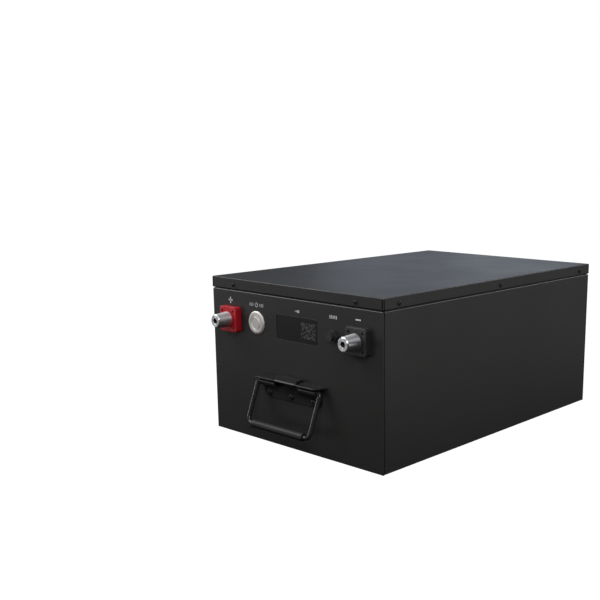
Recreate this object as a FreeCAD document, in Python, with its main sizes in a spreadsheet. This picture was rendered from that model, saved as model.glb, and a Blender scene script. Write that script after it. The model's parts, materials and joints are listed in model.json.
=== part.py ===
"""A lithium iron phosphate battery pack in a folded steel case, as separate pieces.

Millimetres. The origin is the centre of the case's underside, +Z is up and the front is -Y.
The driving sizes are in the spreadsheet; every piece is bound to them. Pieces of the front and
rear handles are drawn at the front, and the rear ones are turned half a turn about +Z.
"""
import FreeCAD
import Part
import math
import os
import re
import Sketcher
from FreeCAD import Placement, Rotation, Vector

DIMENSIONS = {
    # the folded case, whose walls step in to a neck inside the lid's skirt
    "case_width": 320, "case_depth": 478, "case_height": 218,
    "body_sheet": 1.5, "lid_sheet": 1.2, "lid_gap": 0.2, "lid_skirt": 15.1,
    "body_inset": 0.4, "shoulder_drop": 2.2, "shoulder_rise": 1.3, "shoulder_radius": 0.8,
    "fold_width": 12, "fold_radius": 1.3, "fold_margin": 20, "gasket_thickness": 2,
    "corner_seam": 1.6, "body_seam": 1.2, "corner_relief": 9.5, "neck_notch": 4,
    # lid screws: below the lid's top, and from the ends and sides of the case
    "lid_screw_drop": 9, "lid_screw_end_inset": 28.5, "lid_screw_side_inset": 45,
    "lid_screw_radius": 1.5, "lid_screw_length": 8, "rivet_nut_radius": 2.6,
    # the row of fittings on the front panel
    "fitting_height": 162.2, "positive_x": -119, "negative_x": 122,
    "flange_side": 35, "flange_thickness": 8.5, "flange_corner": 4, "flange_screw_pitch": 23,
    "flange_screw_radius": 1.2, "flange_screw_head": 1.9, "flange_screw_depth": 3.5,
    "collar_radius": 12.4, "collar_height": 1.4,
    "stud_base_radius": 10.6, "stud_tip_radius": 9.2, "stud_reach": 30.4, "stud_chamfer": 1.3,
    "stud_shank_radius": 8, "stud_thread_radius": 6, "stud_inner_length": 30,
    "insulator_thickness": 3, "stud_nut_height": 6, "lug_thickness": 3,
    "terminal_bore_radius": 3.4, "terminal_bore_depth": 18,
    # push button
    "button_x": -68, "button_radius": 15.8, "button_proud": 2.6, "button_bevel": 1.6,
    "button_cap_radius": 9.5, "button_cap_gap": 0.08, "button_travel": 1.5,
    "button_shoulder_radius": 11, "button_barrel_radius": 13, "button_barrel_length": 16,
    # display
    "display_x": 10, "display_width": 79, "display_height": 33.5, "window_recess": 0.4,
    "window_thickness": 2, "window_gap": 0.3,
    # vent valve
    "vent_x": 76.5, "vent_radius": 8.6, "vent_cap_radius": 5.4, "vent_proud": 3.2,
    "vent_cap_proud": 8.6, "vent_thread_radius": 5,
    # bail handles: a plate folded out to a stepped ledge, barrels under it, a tongue between
    "plate_width": 109, "plate_bottom": 65, "plate_sheet": 1.8, "plate_corner": 10,
    "ledge_height": 95, "ledge_reach": 17, "ledge_step": 1, "ledge_step_out": 9,
    "ledge_tip": 55.5, "ledge_root": 66, "ledge_corner": 2,
    "ledge_hole_radius": 2, "ledge_hole_out": 2.8, "ledge_hole_x": 41.75, "ledge_hole_pitch": 9.5,
    "pivot_height": 86.8, "pivot_out": 7, "barrel_radius": 5.5, "barrel_half_length": 53.8,
    "tongue_half_width": 20.5, "tongue_gap": 2.2, "tongue_height": 98, "tongue_crest": 12,
    "handle_screw_height": 71.5, "handle_screw_pitch": 41.5, "handle_screw_radius": 2,
    "rod_radius": 3, "rod_clearance": 0.05, "bail_half_width": 59.1, "bail_drop": 58.5,
    "bail_top_bend": 4.2, "bail_bend": 8, "rod_end_x": 24,
    "grip_radius": 5.2, "grip_clearance": 0.02, "grip_half_length": 49, "grip_rounding": 0.8,
    "grip_wall": 0.8, "grip_end_bore": 4, "front_bail_tilt": 21,
    # cells, two rows of four
    "cell_width": 72, "cell_length": 174, "cell_height": 203, "cell_gap": 0.8,
    "cell_corner": 3, "row_gap": 2, "mat_thickness": 1, "end_board": 5,
    "terminal_offset": 61, "terminal_radius": 9, "terminal_height": 2.5, "busbar_thickness": 2,
    "busbar_width": 20,
    # electronics and wiring
    "heat_plate_x": 20, "heat_plate_height": 120, "cable_radius": 5, "harness_radius": 2.5,
}

doc = FreeCAD.newDocument("battery_pack")
sheet = doc.addObject("Spreadsheet::Sheet", "Sizes")
for row, (alias, number) in enumerate(DIMENSIONS.items(), start=1):
    sheet.set(f"A{row}", alias)
    sheet.set(f"B{row}", str(number))
    sheet.setAlias(f"B{row}", alias)
doc.recompute()

# Lengths that several pieces share, written as expressions on the sheet.
BODY_WIDTH = "(case_width - 2 * body_inset)"
FRONT = "(case_depth / 2 - body_inset)"
NECK_WIDTH = "(case_width - 2 * lid_sheet - 2 * lid_gap)"
NECK_FRONT = "(case_depth / 2 - lid_sheet - lid_gap)"
BODY_TOP = "(case_height - lid_sheet - gasket_thickness)"
SKIRT_BASE = "(case_height - lid_skirt)"
SHOULDER = f"({SKIRT_BASE} - shoulder_drop)"
NECK_BASE = f"({SHOULDER} + shoulder_rise)"
PIVOT_DEPTH = f"({FRONT} + pivot_out)"
KNUCKLE_START = "(tongue_half_width + tongue_gap)"
LEDGE_LOW = "(ledge_height - ledge_step)"
BLOCK_BASE = "(body_sheet + mat_thickness)"
REAR_ROW = f"({FRONT} - body_sheet - fold_width - end_board - 1 - cell_length / 2)"
FRONT_ROW = f"({REAR_ROW} - cell_length - row_gap)"
BLOCK_FRONT = f"({FRONT_ROW} - cell_length / 2)"
CELL_TOP = f"({BLOCK_BASE} + cell_height + terminal_height)"
DISPLAY_BACK = f"(-{FRONT} + window_recess + window_thickness + 2)"
CLAMP_NUT = f"(-{FRONT} + body_sheet + insulator_thickness)"
LUG_FACE = f"({CLAMP_NUT} + stud_nut_height)"
BLOCK_FACE = f"({BLOCK_FRONT} - 0.2 - end_board)"
SCREW_HEIGHT = "(case_height - lid_screw_drop)"
HALF_TURN = Placement(Vector(), Rotation(Vector(0, 0, 1), 180))
PARTS = []


def expression(text):
    """The text with every alias of the sheet written the way the sheet is addressed."""
    def address(word):
        name = word.group()
        return "Sizes." + name if name in DIMENSIONS else name
    return re.sub(r"[a-z_]+", address, str(text))


def bind(piece, name, text):
    piece.setExpression(name, expression(text))


def value(text):
    """The number that an expression on the sheet comes to."""
    return float(sheet.evalExpression(expression(text)))


def finish(piece, label, turned=False):
    """Name a sub-part, place it and put it on the list that is written out."""
    piece.Label = label
    if turned:
        piece.Placement = HALF_TURN.multiply(piece.Placement)
    PARTS.append(piece)
    return piece


# Part primitives and booleans bound to the sheet


def block(size, centre):
    """A box of three lengths about a centre."""
    solid = doc.addObject("Part::Box", "Block")
    for side, place, length, middle in zip(("Length", "Width", "Height"), "xyz", size, centre):
        bind(solid, side, length)
        bind(solid, f"Placement.Base.{place}", f"({middle}) - ({length}) / 2")
    return solid


TOWARDS = {
    "+X": Rotation(Vector(0, 1, 0), 90),
    "-Y": Rotation(Vector(1, 0, 0), 90),
    "+Y": Rotation(Vector(1, 0, 0), -90),
    "+Z": Rotation(),
}


def rod(radius, length, start, towards):
    """A cylinder that starts at a point and runs along an axis."""
    solid = doc.addObject("Part::Cylinder", "Rod")
    bind(solid, "Radius", radius)
    bind(solid, "Height", length)
    solid.Placement.Rotation = TOWARDS[towards]
    for place, text in zip("xyz", start):
        bind(solid, f"Placement.Base.{place}", text)
    return solid


def hex_prism(radius, length, start, towards):
    """A hexagonal prism, for nuts; the radius is measured to its corners."""
    solid = doc.addObject("Part::Prism", "Hexagon")
    solid.Polygon = 6
    bind(solid, "Circumradius", radius)
    bind(solid, "Height", length)
    solid.Placement.Rotation = TOWARDS[towards]
    for place, text in zip("xyz", start):
        bind(solid, f"Placement.Base.{place}", text)
    return solid


def cut(base, *tools):
    for tool in tools:
        result = doc.addObject("Part::Cut", "Cut")
        result.Base = base
        result.Tool = tool
        base = result
    return base


def fuse(*solids):
    result = doc.addObject("Part::MultiFuse", "Fuse")
    result.Shapes = list(solids)
    return result


def group(*solids):
    result = doc.addObject("Part::Compound", "Group")
    result.Links = list(solids)
    return result


# PartDesign bodies


def new_body(label):
    body = doc.addObject("PartDesign::Body", label.title().replace("_", ""))
    body.Label = label
    return body


def new_sketch(body, plane, across=0, up=0, out=0):
    """A sketch on one of the body's own planes, moved across, up and out along its normal."""
    sketch = body.newObject("Sketcher::SketchObject", "Sketch")
    support = [feature for feature in body.Origin.OriginFeatures if feature.Role == plane][0]
    sketch.AttachmentSupport = (support, [""])
    sketch.MapMode = "FlatFace"
    for axis, text in zip("xyz", (across, up, out)):
        bind(sketch, f"AttachmentOffset.Base.{axis}", text)
    return sketch


def polygon(sketch, points):
    """A closed outline through points, each bound to the sheet."""
    numbers = [(value(across), value(up)) for across, up in points]
    first = sketch.GeometryCount
    count = len(points)
    for index, (across, up) in enumerate(numbers):
        after = numbers[(index + 1) % count]
        sketch.addGeometry(Part.LineSegment(Vector(across, up), Vector(after[0], after[1])))
    for index in range(count):
        line = first + index
        follower = first + (index + 1) % count
        sketch.addConstraint(Sketcher.Constraint("Coincident", line, 2, follower, 1))
        for kind, text, number in zip(("DistanceX", "DistanceY"), points[index], numbers[index]):
            rule = sketch.addConstraint(Sketcher.Constraint(kind, -1, 1, line, 1, number))
            sketch.renameConstraint(rule, f"{kind}{line}")
            bind(sketch, f"Constraints.{kind}{line}", text)


def rectangle(sketch, left, right, bottom, top):
    polygon(sketch, [(left, bottom), (right, bottom), (right, top), (left, top)])


def circle(sketch, across, up, radius):
    """A circle whose centre and radius are bound to the sheet."""
    index = sketch.GeometryCount
    centre = Vector(value(across), value(up))
    sketch.addGeometry(Part.Circle(centre, Vector(0, 0, 1), value(radius)))
    rules = {
        "DistanceX": (Sketcher.Constraint("DistanceX", -1, 1, index, 3, centre.x), across),
        "DistanceY": (Sketcher.Constraint("DistanceY", -1, 1, index, 3, centre.y), up),
        "Radius": (Sketcher.Constraint("Radius", index, value(radius)), radius),
    }
    for kind, (constraint, text) in rules.items():
        rule = sketch.addConstraint(constraint)
        sketch.renameConstraint(rule, f"{kind}{index}")
        bind(sketch, f"Constraints.{kind}{index}", text)


def pad(body, sketch, length, backwards=False, both_ways=False):
    feature = body.newObject("PartDesign::Pad", "Pad")
    feature.Profile = sketch
    bind(feature, "Length", length)
    feature.Reversed = backwards
    feature.Midplane = both_ways
    doc.recompute()
    return feature


def pocket(body, sketch, length, backwards=False, both_ways=False):
    """Cut a sketch into the body, and make sure that it removed something."""
    before = body.Shape.Volume
    feature = body.newObject("PartDesign::Pocket", "Pocket")
    feature.Profile = sketch
    bind(feature, "Length", length)
    feature.Reversed = backwards
    feature.Midplane = both_ways
    doc.recompute()
    if body.Shape.Volume > before - 0.01:
        raise RuntimeError(f"a pocket of {body.Label} cuts nothing")
    return feature


def revolve(body, sketch):
    feature = body.newObject("PartDesign::Revolution", "Revolution")
    feature.Profile = sketch
    feature.ReferenceAxis = (sketch, ["H_Axis"])
    feature.Angle = 360
    doc.recompute()
    return feature


def round_edges(body, radius, chosen):
    """Round the edges of the body's tip that a test chooses."""
    base = body.Tip
    names = [f"Edge{number}" for number, edge in enumerate(base.Shape.Edges, 1) if chosen(edge)]
    feature = body.newObject("PartDesign::Fillet", "Fillet")
    feature.Base = (base, names)
    bind(feature, "Radius", radius)
    doc.recompute()
    return feature


def along(edge, axis):
    """Whether an edge is a straight line along an axis."""
    ends = [vertex.Point for vertex in edge.Vertexes]
    if len(ends) != 2 or edge.Curve.TypeId != "Part::GeomLine":
        return False
    run = ends[1] - ends[0]
    return abs(abs(run.normalize().dot(axis)) - 1) < 1e-6


X_AXIS = Vector(1, 0, 0)
Y_AXIS = Vector(0, 1, 0)
Z_AXIS = Vector(0, 0, 1)


def middle(edge):
    return edge.BoundBox.Center


# Fasteners: one shape placed many times, as separate solids of one node


def screw_shape(head_radius, head_height, shank_radius, length, socket_radius):
    """A domed socket screw, its head's underside at the origin and its head towards +Z."""
    edge = head_height * 0.35
    crown = Part.Arc(
        Vector(head_radius, 0, edge),
        Vector(head_radius * 0.78, 0, head_height * 0.84),
        Vector(head_radius * 0.45, 0, head_height),
    )
    outline = [
        Vector(head_radius * 0.45, 0, head_height),
        Vector(0, 0, head_height),
        Vector(0, 0, -length),
        Vector(shank_radius, 0, -length),
        Vector(shank_radius, 0, 0),
        Vector(head_radius, 0, 0),
        Vector(head_radius, 0, edge),
    ]
    edges = [Part.LineSegment(a, b).toShape() for a, b in zip(outline, outline[1:])]
    wire = Part.Wire(edges + [crown.toShape()])
    screw = Part.Face(wire).revolve(Vector(), Z_AXIS, 360)
    corners = [
        Vector(math.cos(turn) * socket_radius, math.sin(turn) * socket_radius, head_height * 0.35)
        for turn in [math.radians(60 * step) for step in range(7)]
    ]
    socket = Part.Face(Part.makePolygon(corners)).extrude(Vector(0, 0, head_height))
    return screw.cut(socket)


def nut_shape(corner_radius, height, bore_radius):
    """A hexagonal nut about the origin's +Z, from z = 0 up."""
    corners = [
        Vector(math.cos(turn) * corner_radius, math.sin(turn) * corner_radius, 0)
        for turn in [math.radians(60 * step) for step in range(7)]
    ]
    prism = Part.Face(Part.makePolygon(corners)).extrude(Vector(0, 0, height))
    return prism.cut(Part.makeCylinder(bore_radius, height))


def repeated(label, shape, places):
    """One node of equal solids, each at its own placement."""
    copies = []
    for place in places:
        copy = shape.copy()
        copy.Placement = place
        copies.append(copy)
    piece = doc.addObject("Part::Feature", label.title().replace("_", ""))
    piece.Shape = Part.makeCompound(copies)
    return finish(piece, label)


# The case


def case_shell():
    """Floor and both sides, folded from one sheet, stepped in and folded inwards at the top."""
    body = new_body("case_shell")
    half = f"{BODY_WIDTH} / 2"
    neck = f"{NECK_WIDTH} / 2"
    right = [
        (half, 0),
        (half, SHOULDER),
        (neck, NECK_BASE),
        (neck, BODY_TOP),
        (f"{neck} - fold_width", BODY_TOP),
        (f"{neck} - fold_width", f"{BODY_TOP} - body_sheet"),
        (f"{neck} - body_sheet", f"{BODY_TOP} - body_sheet"),
        (f"{neck} - body_sheet", NECK_BASE),
        (f"{half} - body_sheet", SHOULDER),
        (f"{half} - body_sheet", "body_sheet"),
    ]
    left = [(f"-({across})", up) for across, up in reversed(right)]
    profile = new_sketch(body, "XZ_Plane")
    polygon(profile, right + left)
    pad(body, profile, f"2 * ({FRONT} - body_sheet - body_seam)", both_ways=True)
    bottom = value("body_sheet")
    round_edges(body, "fold_radius", lambda edge: along(edge, Y_AXIS) and middle(edge).z < bottom / 2)
    bend = value(SHOULDER)
    outside = value(half) - 0.1
    round_edges(body, "shoulder_radius", lambda edge: (
        abs(middle(edge).z - bend) < 0.01 and abs(middle(edge).x) > outside and along(edge, Y_AXIS)))
    reliefs = new_sketch(body, "YZ_Plane")
    for side in ("-", ""):
        end = f"({FRONT} - body_sheet - corner_seam)"
        rectangle(reliefs, f"{side}{end}", f"{side}{FRONT}", f"{SKIRT_BASE} - corner_relief", "case_height")
    pocket(body, reliefs, "2 * case_width", both_ways=True)
    holes = new_sketch(body, "YZ_Plane")
    for station in side_screw_stations():
        circle(holes, station, SCREW_HEIGHT, "rivet_nut_radius")
    pocket(body, holes, "2 * case_width", both_ways=True)
    return finish(body, "case_shell")


def side_screw_stations():
    """Where the lid screws of a side stand along the case's depth."""
    end = "(case_depth / 2 - lid_screw_end_inset)"
    return [f"-{end}", "0", end]


def end_screw_stations():
    """Where the lid screws of the front and rear stand across the case's width."""
    side = "(case_width / 2 - lid_screw_side_inset)"
    return [f"-{side}", side]


def end_panel(label, openings, turned=False):
    """A flat end of the case, stepped in at the top, with four folds that stand inside the shell."""
    body = new_body(label)
    half = f"{BODY_WIDTH} / 2"
    plate = new_sketch(body, "XZ_Plane", out=FRONT)
    rectangle(plate, f"-{half}", half, 0, SHOULDER)
    pad(body, plate, "body_sheet", backwards=True)
    neck = new_sketch(body, "YZ_Plane")
    polygon(neck, [
        (f"-{FRONT}", SHOULDER),
        (f"-{NECK_FRONT}", NECK_BASE),
        (f"-{NECK_FRONT}", BODY_TOP),
        (f"-{NECK_FRONT} + body_sheet", BODY_TOP),
        (f"-{NECK_FRONT} + body_sheet", NECK_BASE),
        (f"-{FRONT} + body_sheet", SHOULDER),
    ])
    pad(body, neck, NECK_WIDTH, both_ways=True)
    folds = new_sketch(body, "XZ_Plane", out=f"{FRONT} - body_sheet")
    outer = f"({half} - body_sheet - lid_gap)"
    rectangle(folds, f"-{outer}", f"-{outer} + body_sheet", "fold_margin", f"{BODY_TOP} - fold_margin")
    rectangle(folds, f"{outer} - body_sheet", outer, "fold_margin", f"{BODY_TOP} - fold_margin")
    floor = "body_sheet + lid_gap"
    rectangle(folds, f"-{half} + fold_margin", f"{half} - fold_margin", floor, f"{floor} + body_sheet")
    rail = f"({NECK_WIDTH} / 2 - fold_width - 1)"
    rectangle(folds, f"-{rail}", rail, f"{BODY_TOP} - body_sheet", BODY_TOP)
    pad(body, folds, "fold_width", backwards=True)
    holes = new_sketch(body, "XZ_Plane", out=FRONT)
    for station in end_screw_stations():
        circle(holes, station, SCREW_HEIGHT, "rivet_nut_radius")
    for step in (-1, 0, 1):
        circle(holes, f"{step} * handle_screw_pitch", "handle_screw_height", "handle_screw_radius")
    notch = f"({NECK_WIDTH} / 2 - neck_notch)"
    rectangle(holes, f"-{half}", f"-{notch}", NECK_BASE, "case_height")
    rectangle(holes, notch, half, NECK_BASE, "case_height")
    openings(holes)
    pocket(body, holes, "2 * body_sheet")
    return finish(body, label, turned)


def front_openings(sketch):
    for across in ("positive_x", "negative_x"):
        circle(sketch, across, "fitting_height", "stud_shank_radius + 1.5")
        for side, level in flange_screw_steps():
            circle(sketch, f"{across} + {side}", f"fitting_height + {level}", "flange_screw_radius")
    circle(sketch, "button_x", "fitting_height", "button_barrel_radius")
    circle(sketch, "vent_x", "fitting_height", "vent_thread_radius")
    half_width = "display_width / 2"
    half_height = "display_height / 2"
    rectangle(
        sketch,
        f"display_x - {half_width}", f"display_x + {half_width}",
        f"fitting_height - {half_height}", f"fitting_height + {half_height}",
    )


def no_openings(_):
    pass


def lid():
    """A shallow tray with an open seam at each corner of its skirt."""
    body = new_body("lid")
    half_width = "case_width / 2"
    half_depth = "case_depth / 2"
    outline = new_sketch(body, "XY_Plane", out=SKIRT_BASE)
    rectangle(outline, f"-{half_width}", half_width, f"-{half_depth}", half_depth)
    pad(body, outline, "lid_skirt")
    top = value("case_height")
    round_edges(body, "fold_radius", lambda edge: abs(middle(edge).z - top) < 0.01)
    inside = new_sketch(body, "XY_Plane", out=SKIRT_BASE)
    inner_width = f"{half_width} - lid_sheet"
    inner_depth = f"({half_depth} - lid_sheet)"
    rectangle(inside, f"-({inner_width})", inner_width, f"-{inner_depth}", inner_depth)
    pocket(body, inside, "lid_skirt - lid_sheet", backwards=True)
    seams = new_sketch(body, "YZ_Plane")
    for side in ("-", ""):
        near = f"{side}{inner_depth}"
        far = f"{side}({inner_depth} - corner_seam)"
        rectangle(seams, near, far, f"{SKIRT_BASE} - 1", "case_height - lid_sheet - fold_radius")
    pocket(body, seams, "2 * case_width", both_ways=True)
    holes = new_sketch(body, "YZ_Plane")
    for station in side_screw_stations():
        circle(holes, station, SCREW_HEIGHT, "lid_screw_radius + 0.2")
    pocket(body, holes, "2 * case_width", both_ways=True)
    end_holes = new_sketch(body, "XZ_Plane")
    for station in end_screw_stations():
        circle(end_holes, station, SCREW_HEIGHT, "lid_screw_radius + 0.2")
    pocket(body, end_holes, "2 * case_depth", both_ways=True)
    return finish(body, "lid")


def lid_gasket():
    """A rubber frame between the folds of the case and the underside of the lid."""
    height = f"{BODY_TOP} + gasket_thickness / 2"
    depth = f"2 * {NECK_FRONT}"
    outer = block([NECK_WIDTH, depth, "gasket_thickness"], [0, 0, height])
    inner_size = [f"{NECK_WIDTH} - 2 * fold_width", f"{depth} - 2 * fold_width", "3 * gasket_thickness"]
    return finish(cut(outer, block(inner_size, [0, 0, height])), "lid_gasket")


def around_the_lid(depth_from_face):
    """Placements, +Z outwards, at every lid screw, a distance inside the case's outline."""
    height = value(SCREW_HEIGHT)
    side = value("case_width / 2") - depth_from_face
    end = value("case_depth / 2") - depth_from_face
    places = []
    for station in side_screw_stations():
        for sign in (-1, 1):
            where = Vector(sign * side, value(station), height)
            places.append(Placement(where, Rotation(Z_AXIS, Vector(sign, 0, 0))))
    for station in end_screw_stations():
        for sign in (-1, 1):
            where = Vector(value(station), sign * end, height)
            places.append(Placement(where, Rotation(Z_AXIS, Vector(0, sign, 0))))
    return places


def lid_fixings():
    """Domed screws through the lid's skirt into rivet nuts in the case."""
    shank = value("lid_screw_radius")
    screw = screw_shape(2.9, 1.7, shank, value("lid_screw_length"), 1.2)
    repeated("lid_screws", screw, around_the_lid(0))
    nut = Part.makeCylinder(value("rivet_nut_radius"), 9, Vector(0, 0, -9))
    nut = nut.fuse(Part.makeCylinder(3.6, 1, Vector(0, 0, -value("body_sheet") - 1)))
    nut = nut.cut(Part.makeCylinder(shank, 12, Vector(0, 0, -10)))
    repeated("rivet_nuts", nut.removeSplitter(), around_the_lid(value("lid_sheet + lid_gap")))


# Terminals


def flange_screw_steps():
    """The four screws of a flange, across and up from its middle."""
    half = "flange_screw_pitch / 2"
    return [(f"{side} * {half}", f"{level} * {half}") for side in (-1, 1) for level in (-1, 1)]


def terminal_flange(label, across):
    """A moulded square flange with a collar round the stud and four sunk screw holes."""
    body = new_body(label)
    face = new_sketch(body, "XZ_Plane", across=across, up="fitting_height", out=FRONT)
    half = "flange_side / 2"
    rectangle(face, f"-{half}", half, f"-{half}", half)
    pad(body, face, "flange_thickness")
    round_edges(body, "flange_corner", lambda edge: along(edge, Y_AXIS))
    front = -value(f"{FRONT} + flange_thickness")
    round_edges(body, 1.2, lambda edge: abs(middle(edge).y - front) < 0.01)
    collar = new_sketch(body, "XZ_Plane", across=across, up="fitting_height", out=FRONT)
    circle(collar, 0, 0, "collar_radius")
    pad(body, collar, "flange_thickness + collar_height")
    bore = new_sketch(body, "XZ_Plane", across=across, up="fitting_height", out=FRONT)
    circle(bore, 0, 0, "stud_shank_radius")
    pocket(body, bore, "4 * flange_thickness", both_ways=True)
    holes = new_sketch(
        body, "XZ_Plane", across=across, up="fitting_height", out=f"{FRONT} + flange_thickness")
    shanks = new_sketch(body, "XZ_Plane", across=across, up="fitting_height", out=FRONT)
    for side, level in flange_screw_steps():
        circle(holes, side, level, "flange_screw_head")
        circle(shanks, side, level, "flange_screw_radius")
    pocket(body, holes, "flange_screw_depth")
    pocket(body, shanks, "2 * flange_thickness", both_ways=True)
    return finish(body, label)


def flange_screws():
    """Screws sunk in the flanges' holes, through the panel and the insulator behind it."""
    length = value("flange_thickness - flange_screw_depth + body_sheet + insulator_thickness")
    screw = screw_shape(value("flange_screw_head"), 1.5, value("flange_screw_radius"), length, 0.8)
    depth = -value(f"{FRONT} + flange_thickness - flange_screw_depth")
    turn = Rotation(Z_AXIS, Vector(0, -1, 0))
    places = []
    for across in ("positive_x", "negative_x"):
        for side, level in flange_screw_steps():
            where = Vector(value(f"{across} + {side}"), depth, value(f"fitting_height + {level}"))
            places.append(Placement(where, turn))
    return repeated("flange_screws", screw, places)


def terminal_stud(label, across):
    """A bright turned stud with a tapped hole in its end, and a thread inside the case."""
    body = new_body(label)
    profile = new_sketch(body, "YZ_Plane", across=f"-{FRONT}", up="fitting_height", out=across)
    seat = "-(flange_thickness + collar_height)"
    polygon(profile, [
        ("-stud_reach", "terminal_bore_radius + 0.6"),
        ("-stud_reach", "stud_tip_radius - stud_chamfer"),
        ("-stud_reach + stud_chamfer", "stud_tip_radius"),
        (seat, "stud_base_radius"),
        (seat, "stud_shank_radius"),
        ("body_sheet + insulator_thickness", "stud_shank_radius"),
        ("body_sheet + insulator_thickness", "stud_thread_radius"),
        ("stud_inner_length - 1", "stud_thread_radius"),
        ("stud_inner_length", "stud_thread_radius - 1"),
        ("stud_inner_length", 0),
        ("-stud_reach + terminal_bore_depth + 2", 0),
        ("-stud_reach + terminal_bore_depth", "terminal_bore_radius"),
        ("-stud_reach + 0.6", "terminal_bore_radius"),
    ])
    revolve(body, profile)
    return finish(body, label)


def inner_insulators():
    """Moulded washers that keep the studs clear of the panel from inside."""
    pieces = []
    depth = f"-{FRONT} + body_sheet"
    thickness = "insulator_thickness"
    for across in ("positive_x", "negative_x"):
        centre = [across, f"{depth} + {thickness} / 2", "fitting_height"]
        plate = block(["flange_side - 4", thickness, "flange_side - 4"], centre)
        holes = [rod("stud_shank_radius", thickness, [across, depth, "fitting_height"], "+Y")]
        for side, level in flange_screw_steps():
            start = [f"{across} + {side}", depth, f"fitting_height + {level}"]
            holes.append(rod("flange_screw_radius", thickness, start, "+Y"))
        pieces.append(cut(plate, *holes))
    return finish(group(*pieces), "inner_insulators")


def stud_nuts():
    """A nut that clamps each stud to the panel, and one that clamps the lug on it."""
    pieces = []
    for across in ("positive_x", "negative_x"):
        for depth in (CLAMP_NUT, f"{LUG_FACE} + lug_thickness"):
            start = [across, depth, "fitting_height"]
            nut = hex_prism(10.5, "stud_nut_height", start, "+Y")
            pieces.append(cut(nut, rod("stud_thread_radius", "stud_nut_height", start, "+Y")))
    return finish(group(*pieces), "stud_nuts")


# Push button


def button_bezel():
    """The metal ring of the switch: a bevelled head outside and a threaded barrel inside."""
    body = new_body("button_bezel")
    profile = new_sketch(body, "YZ_Plane", across=f"-{FRONT}", up="fitting_height", out="button_x")
    bore = "button_cap_radius + button_cap_gap"
    polygon(profile, [
        ("-button_proud + 0.5", bore),
        ("-button_proud", f"{bore} + 0.7"),
        ("-button_proud", "button_radius - button_bevel - 1.4"),
        ("-button_proud + 0.3", "button_radius - button_bevel"),
        ("-0.7", "button_radius"),
        ("0", "button_radius"),
        ("0", "button_barrel_radius"),
        ("button_barrel_length", "button_barrel_radius"),
        ("button_barrel_length", "button_shoulder_radius"),
        ("4", "button_shoulder_radius"),
        ("4", bore),
    ])
    revolve(body, profile)
    return finish(body, "button_bezel")


def button_cap():
    """The moving centre of the switch, with a raised rim, a collar that keeps it in, and a stem."""
    body = new_body("button_cap")
    profile = new_sketch(body, "YZ_Plane", across=f"-{FRONT}", up="fitting_height", out="button_x")
    polygon(profile, [
        ("-button_proud - 0.2", 0),
        ("-button_proud - 0.2", "button_cap_radius - 2.4"),
        ("-button_proud + 0.2", "button_cap_radius - 2"),
        ("-button_proud + 0.2", "button_cap_radius - 1.5"),
        ("-button_proud - 0.2", "button_cap_radius - 1.1"),
        ("-button_proud - 0.2", "button_cap_radius - 0.5"),
        ("-button_proud + 0.3", "button_cap_radius"),
        ("4.1", "button_cap_radius"),
        ("4.1", "button_shoulder_radius - 0.3"),
        ("6", "button_shoulder_radius - 0.3"),
        ("6", 3),
        ("11", 3),
        ("11", 0),
    ])
    revolve(body, profile)
    return finish(body, "button_cap")


def switch_body():
    """The sealed contact block on the back of the switch, with two blade terminals."""
    start = ["button_x", f"-{FRONT} + 12 + button_travel", "fitting_height"]
    plug = rod("button_shoulder_radius", "button_barrel_length - 11", start, "+Y")
    back = [start[0], f"-{FRONT} + button_barrel_length", start[2]]
    case = rod("button_barrel_radius - 0.5", 12, back, "+Y")
    blades = [
        block([1, 10, 6], [f"button_x + {side}", f"-{FRONT} + button_barrel_length + 16", "fitting_height"])
        for side in (-6, 6)
    ]
    return finish(fuse(plug, case, *blades), "switch_body")


def button_nut():
    start = ["button_x", f"-{FRONT} + body_sheet", "fitting_height"]
    nut = hex_prism(17.5, 4, start, "+Y")
    return finish(cut(nut, rod("button_barrel_radius", 4, start, "+Y")), "button_nut")


# Display


def display_window():
    """A dark clear panel set a little below the face of the front panel."""
    gap = "2 * window_gap"
    depth = f"-{FRONT} + window_recess + window_thickness / 2"
    size = [f"display_width - {gap}", "window_thickness", f"display_height - {gap}"]
    return finish(block(size, ["display_x", depth, "fitting_height"]), "display_window")


def display_gasket():
    """A rubber frame behind the window, pressed against the back of the front panel."""
    front = f"-{FRONT} + window_recess + window_thickness"
    depth = f"{front} + 1"
    outer = block(["display_width + 8", 2, "display_height + 8"], ["display_x", depth, "fitting_height"])
    inner = block(["display_width - 8", 6, "display_height - 8"], ["display_x", depth, "fitting_height"])
    return finish(cut(outer, inner), "display_gasket")


def display_board():
    """The display's circuit board with its screen block, behind the window."""
    layers = [
        (["display_width + 8", 1.6, "display_height + 8"], "display_x", 0.8),
        (["display_width - 12", 1.6, "display_height - 10"], "display_x", -0.8),
        ([14, 6, 8], "display_x + 24", 4.6),
    ]
    solids = [
        block(size, [across, f"{DISPLAY_BACK} + {depth}", "fitting_height"])
        for size, across, depth in layers
    ]
    return finish(fuse(*solids), "display_board")


# Vent valve


def vent_body():
    """A hexagonal vent fitting whose thread passes through the front panel."""
    start = ["vent_x", f"-{FRONT}", "fitting_height"]
    flange = hex_prism("vent_radius", "vent_proud", start, "-Y")
    thread = rod("vent_thread_radius", 12, start, "+Y")
    neck = rod("vent_cap_radius - 1.4", "vent_cap_proud - 1.2", start, "-Y")
    return finish(fuse(flange, thread, neck), "vent_body")


def vent_cap():
    """The round cap of the vent, which stands clear of its flange."""
    start = ["vent_x", f"-{FRONT} - vent_proud - 0.8", "fitting_height"]
    length = "vent_cap_proud - vent_proud - 0.8"
    cap = rod("vent_cap_radius", length, start, "-Y")
    hollow = rod("vent_cap_radius - 1.4", "vent_cap_proud - vent_proud - 2", start, "-Y")
    return finish(cut(cap, hollow), "vent_cap")


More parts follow.
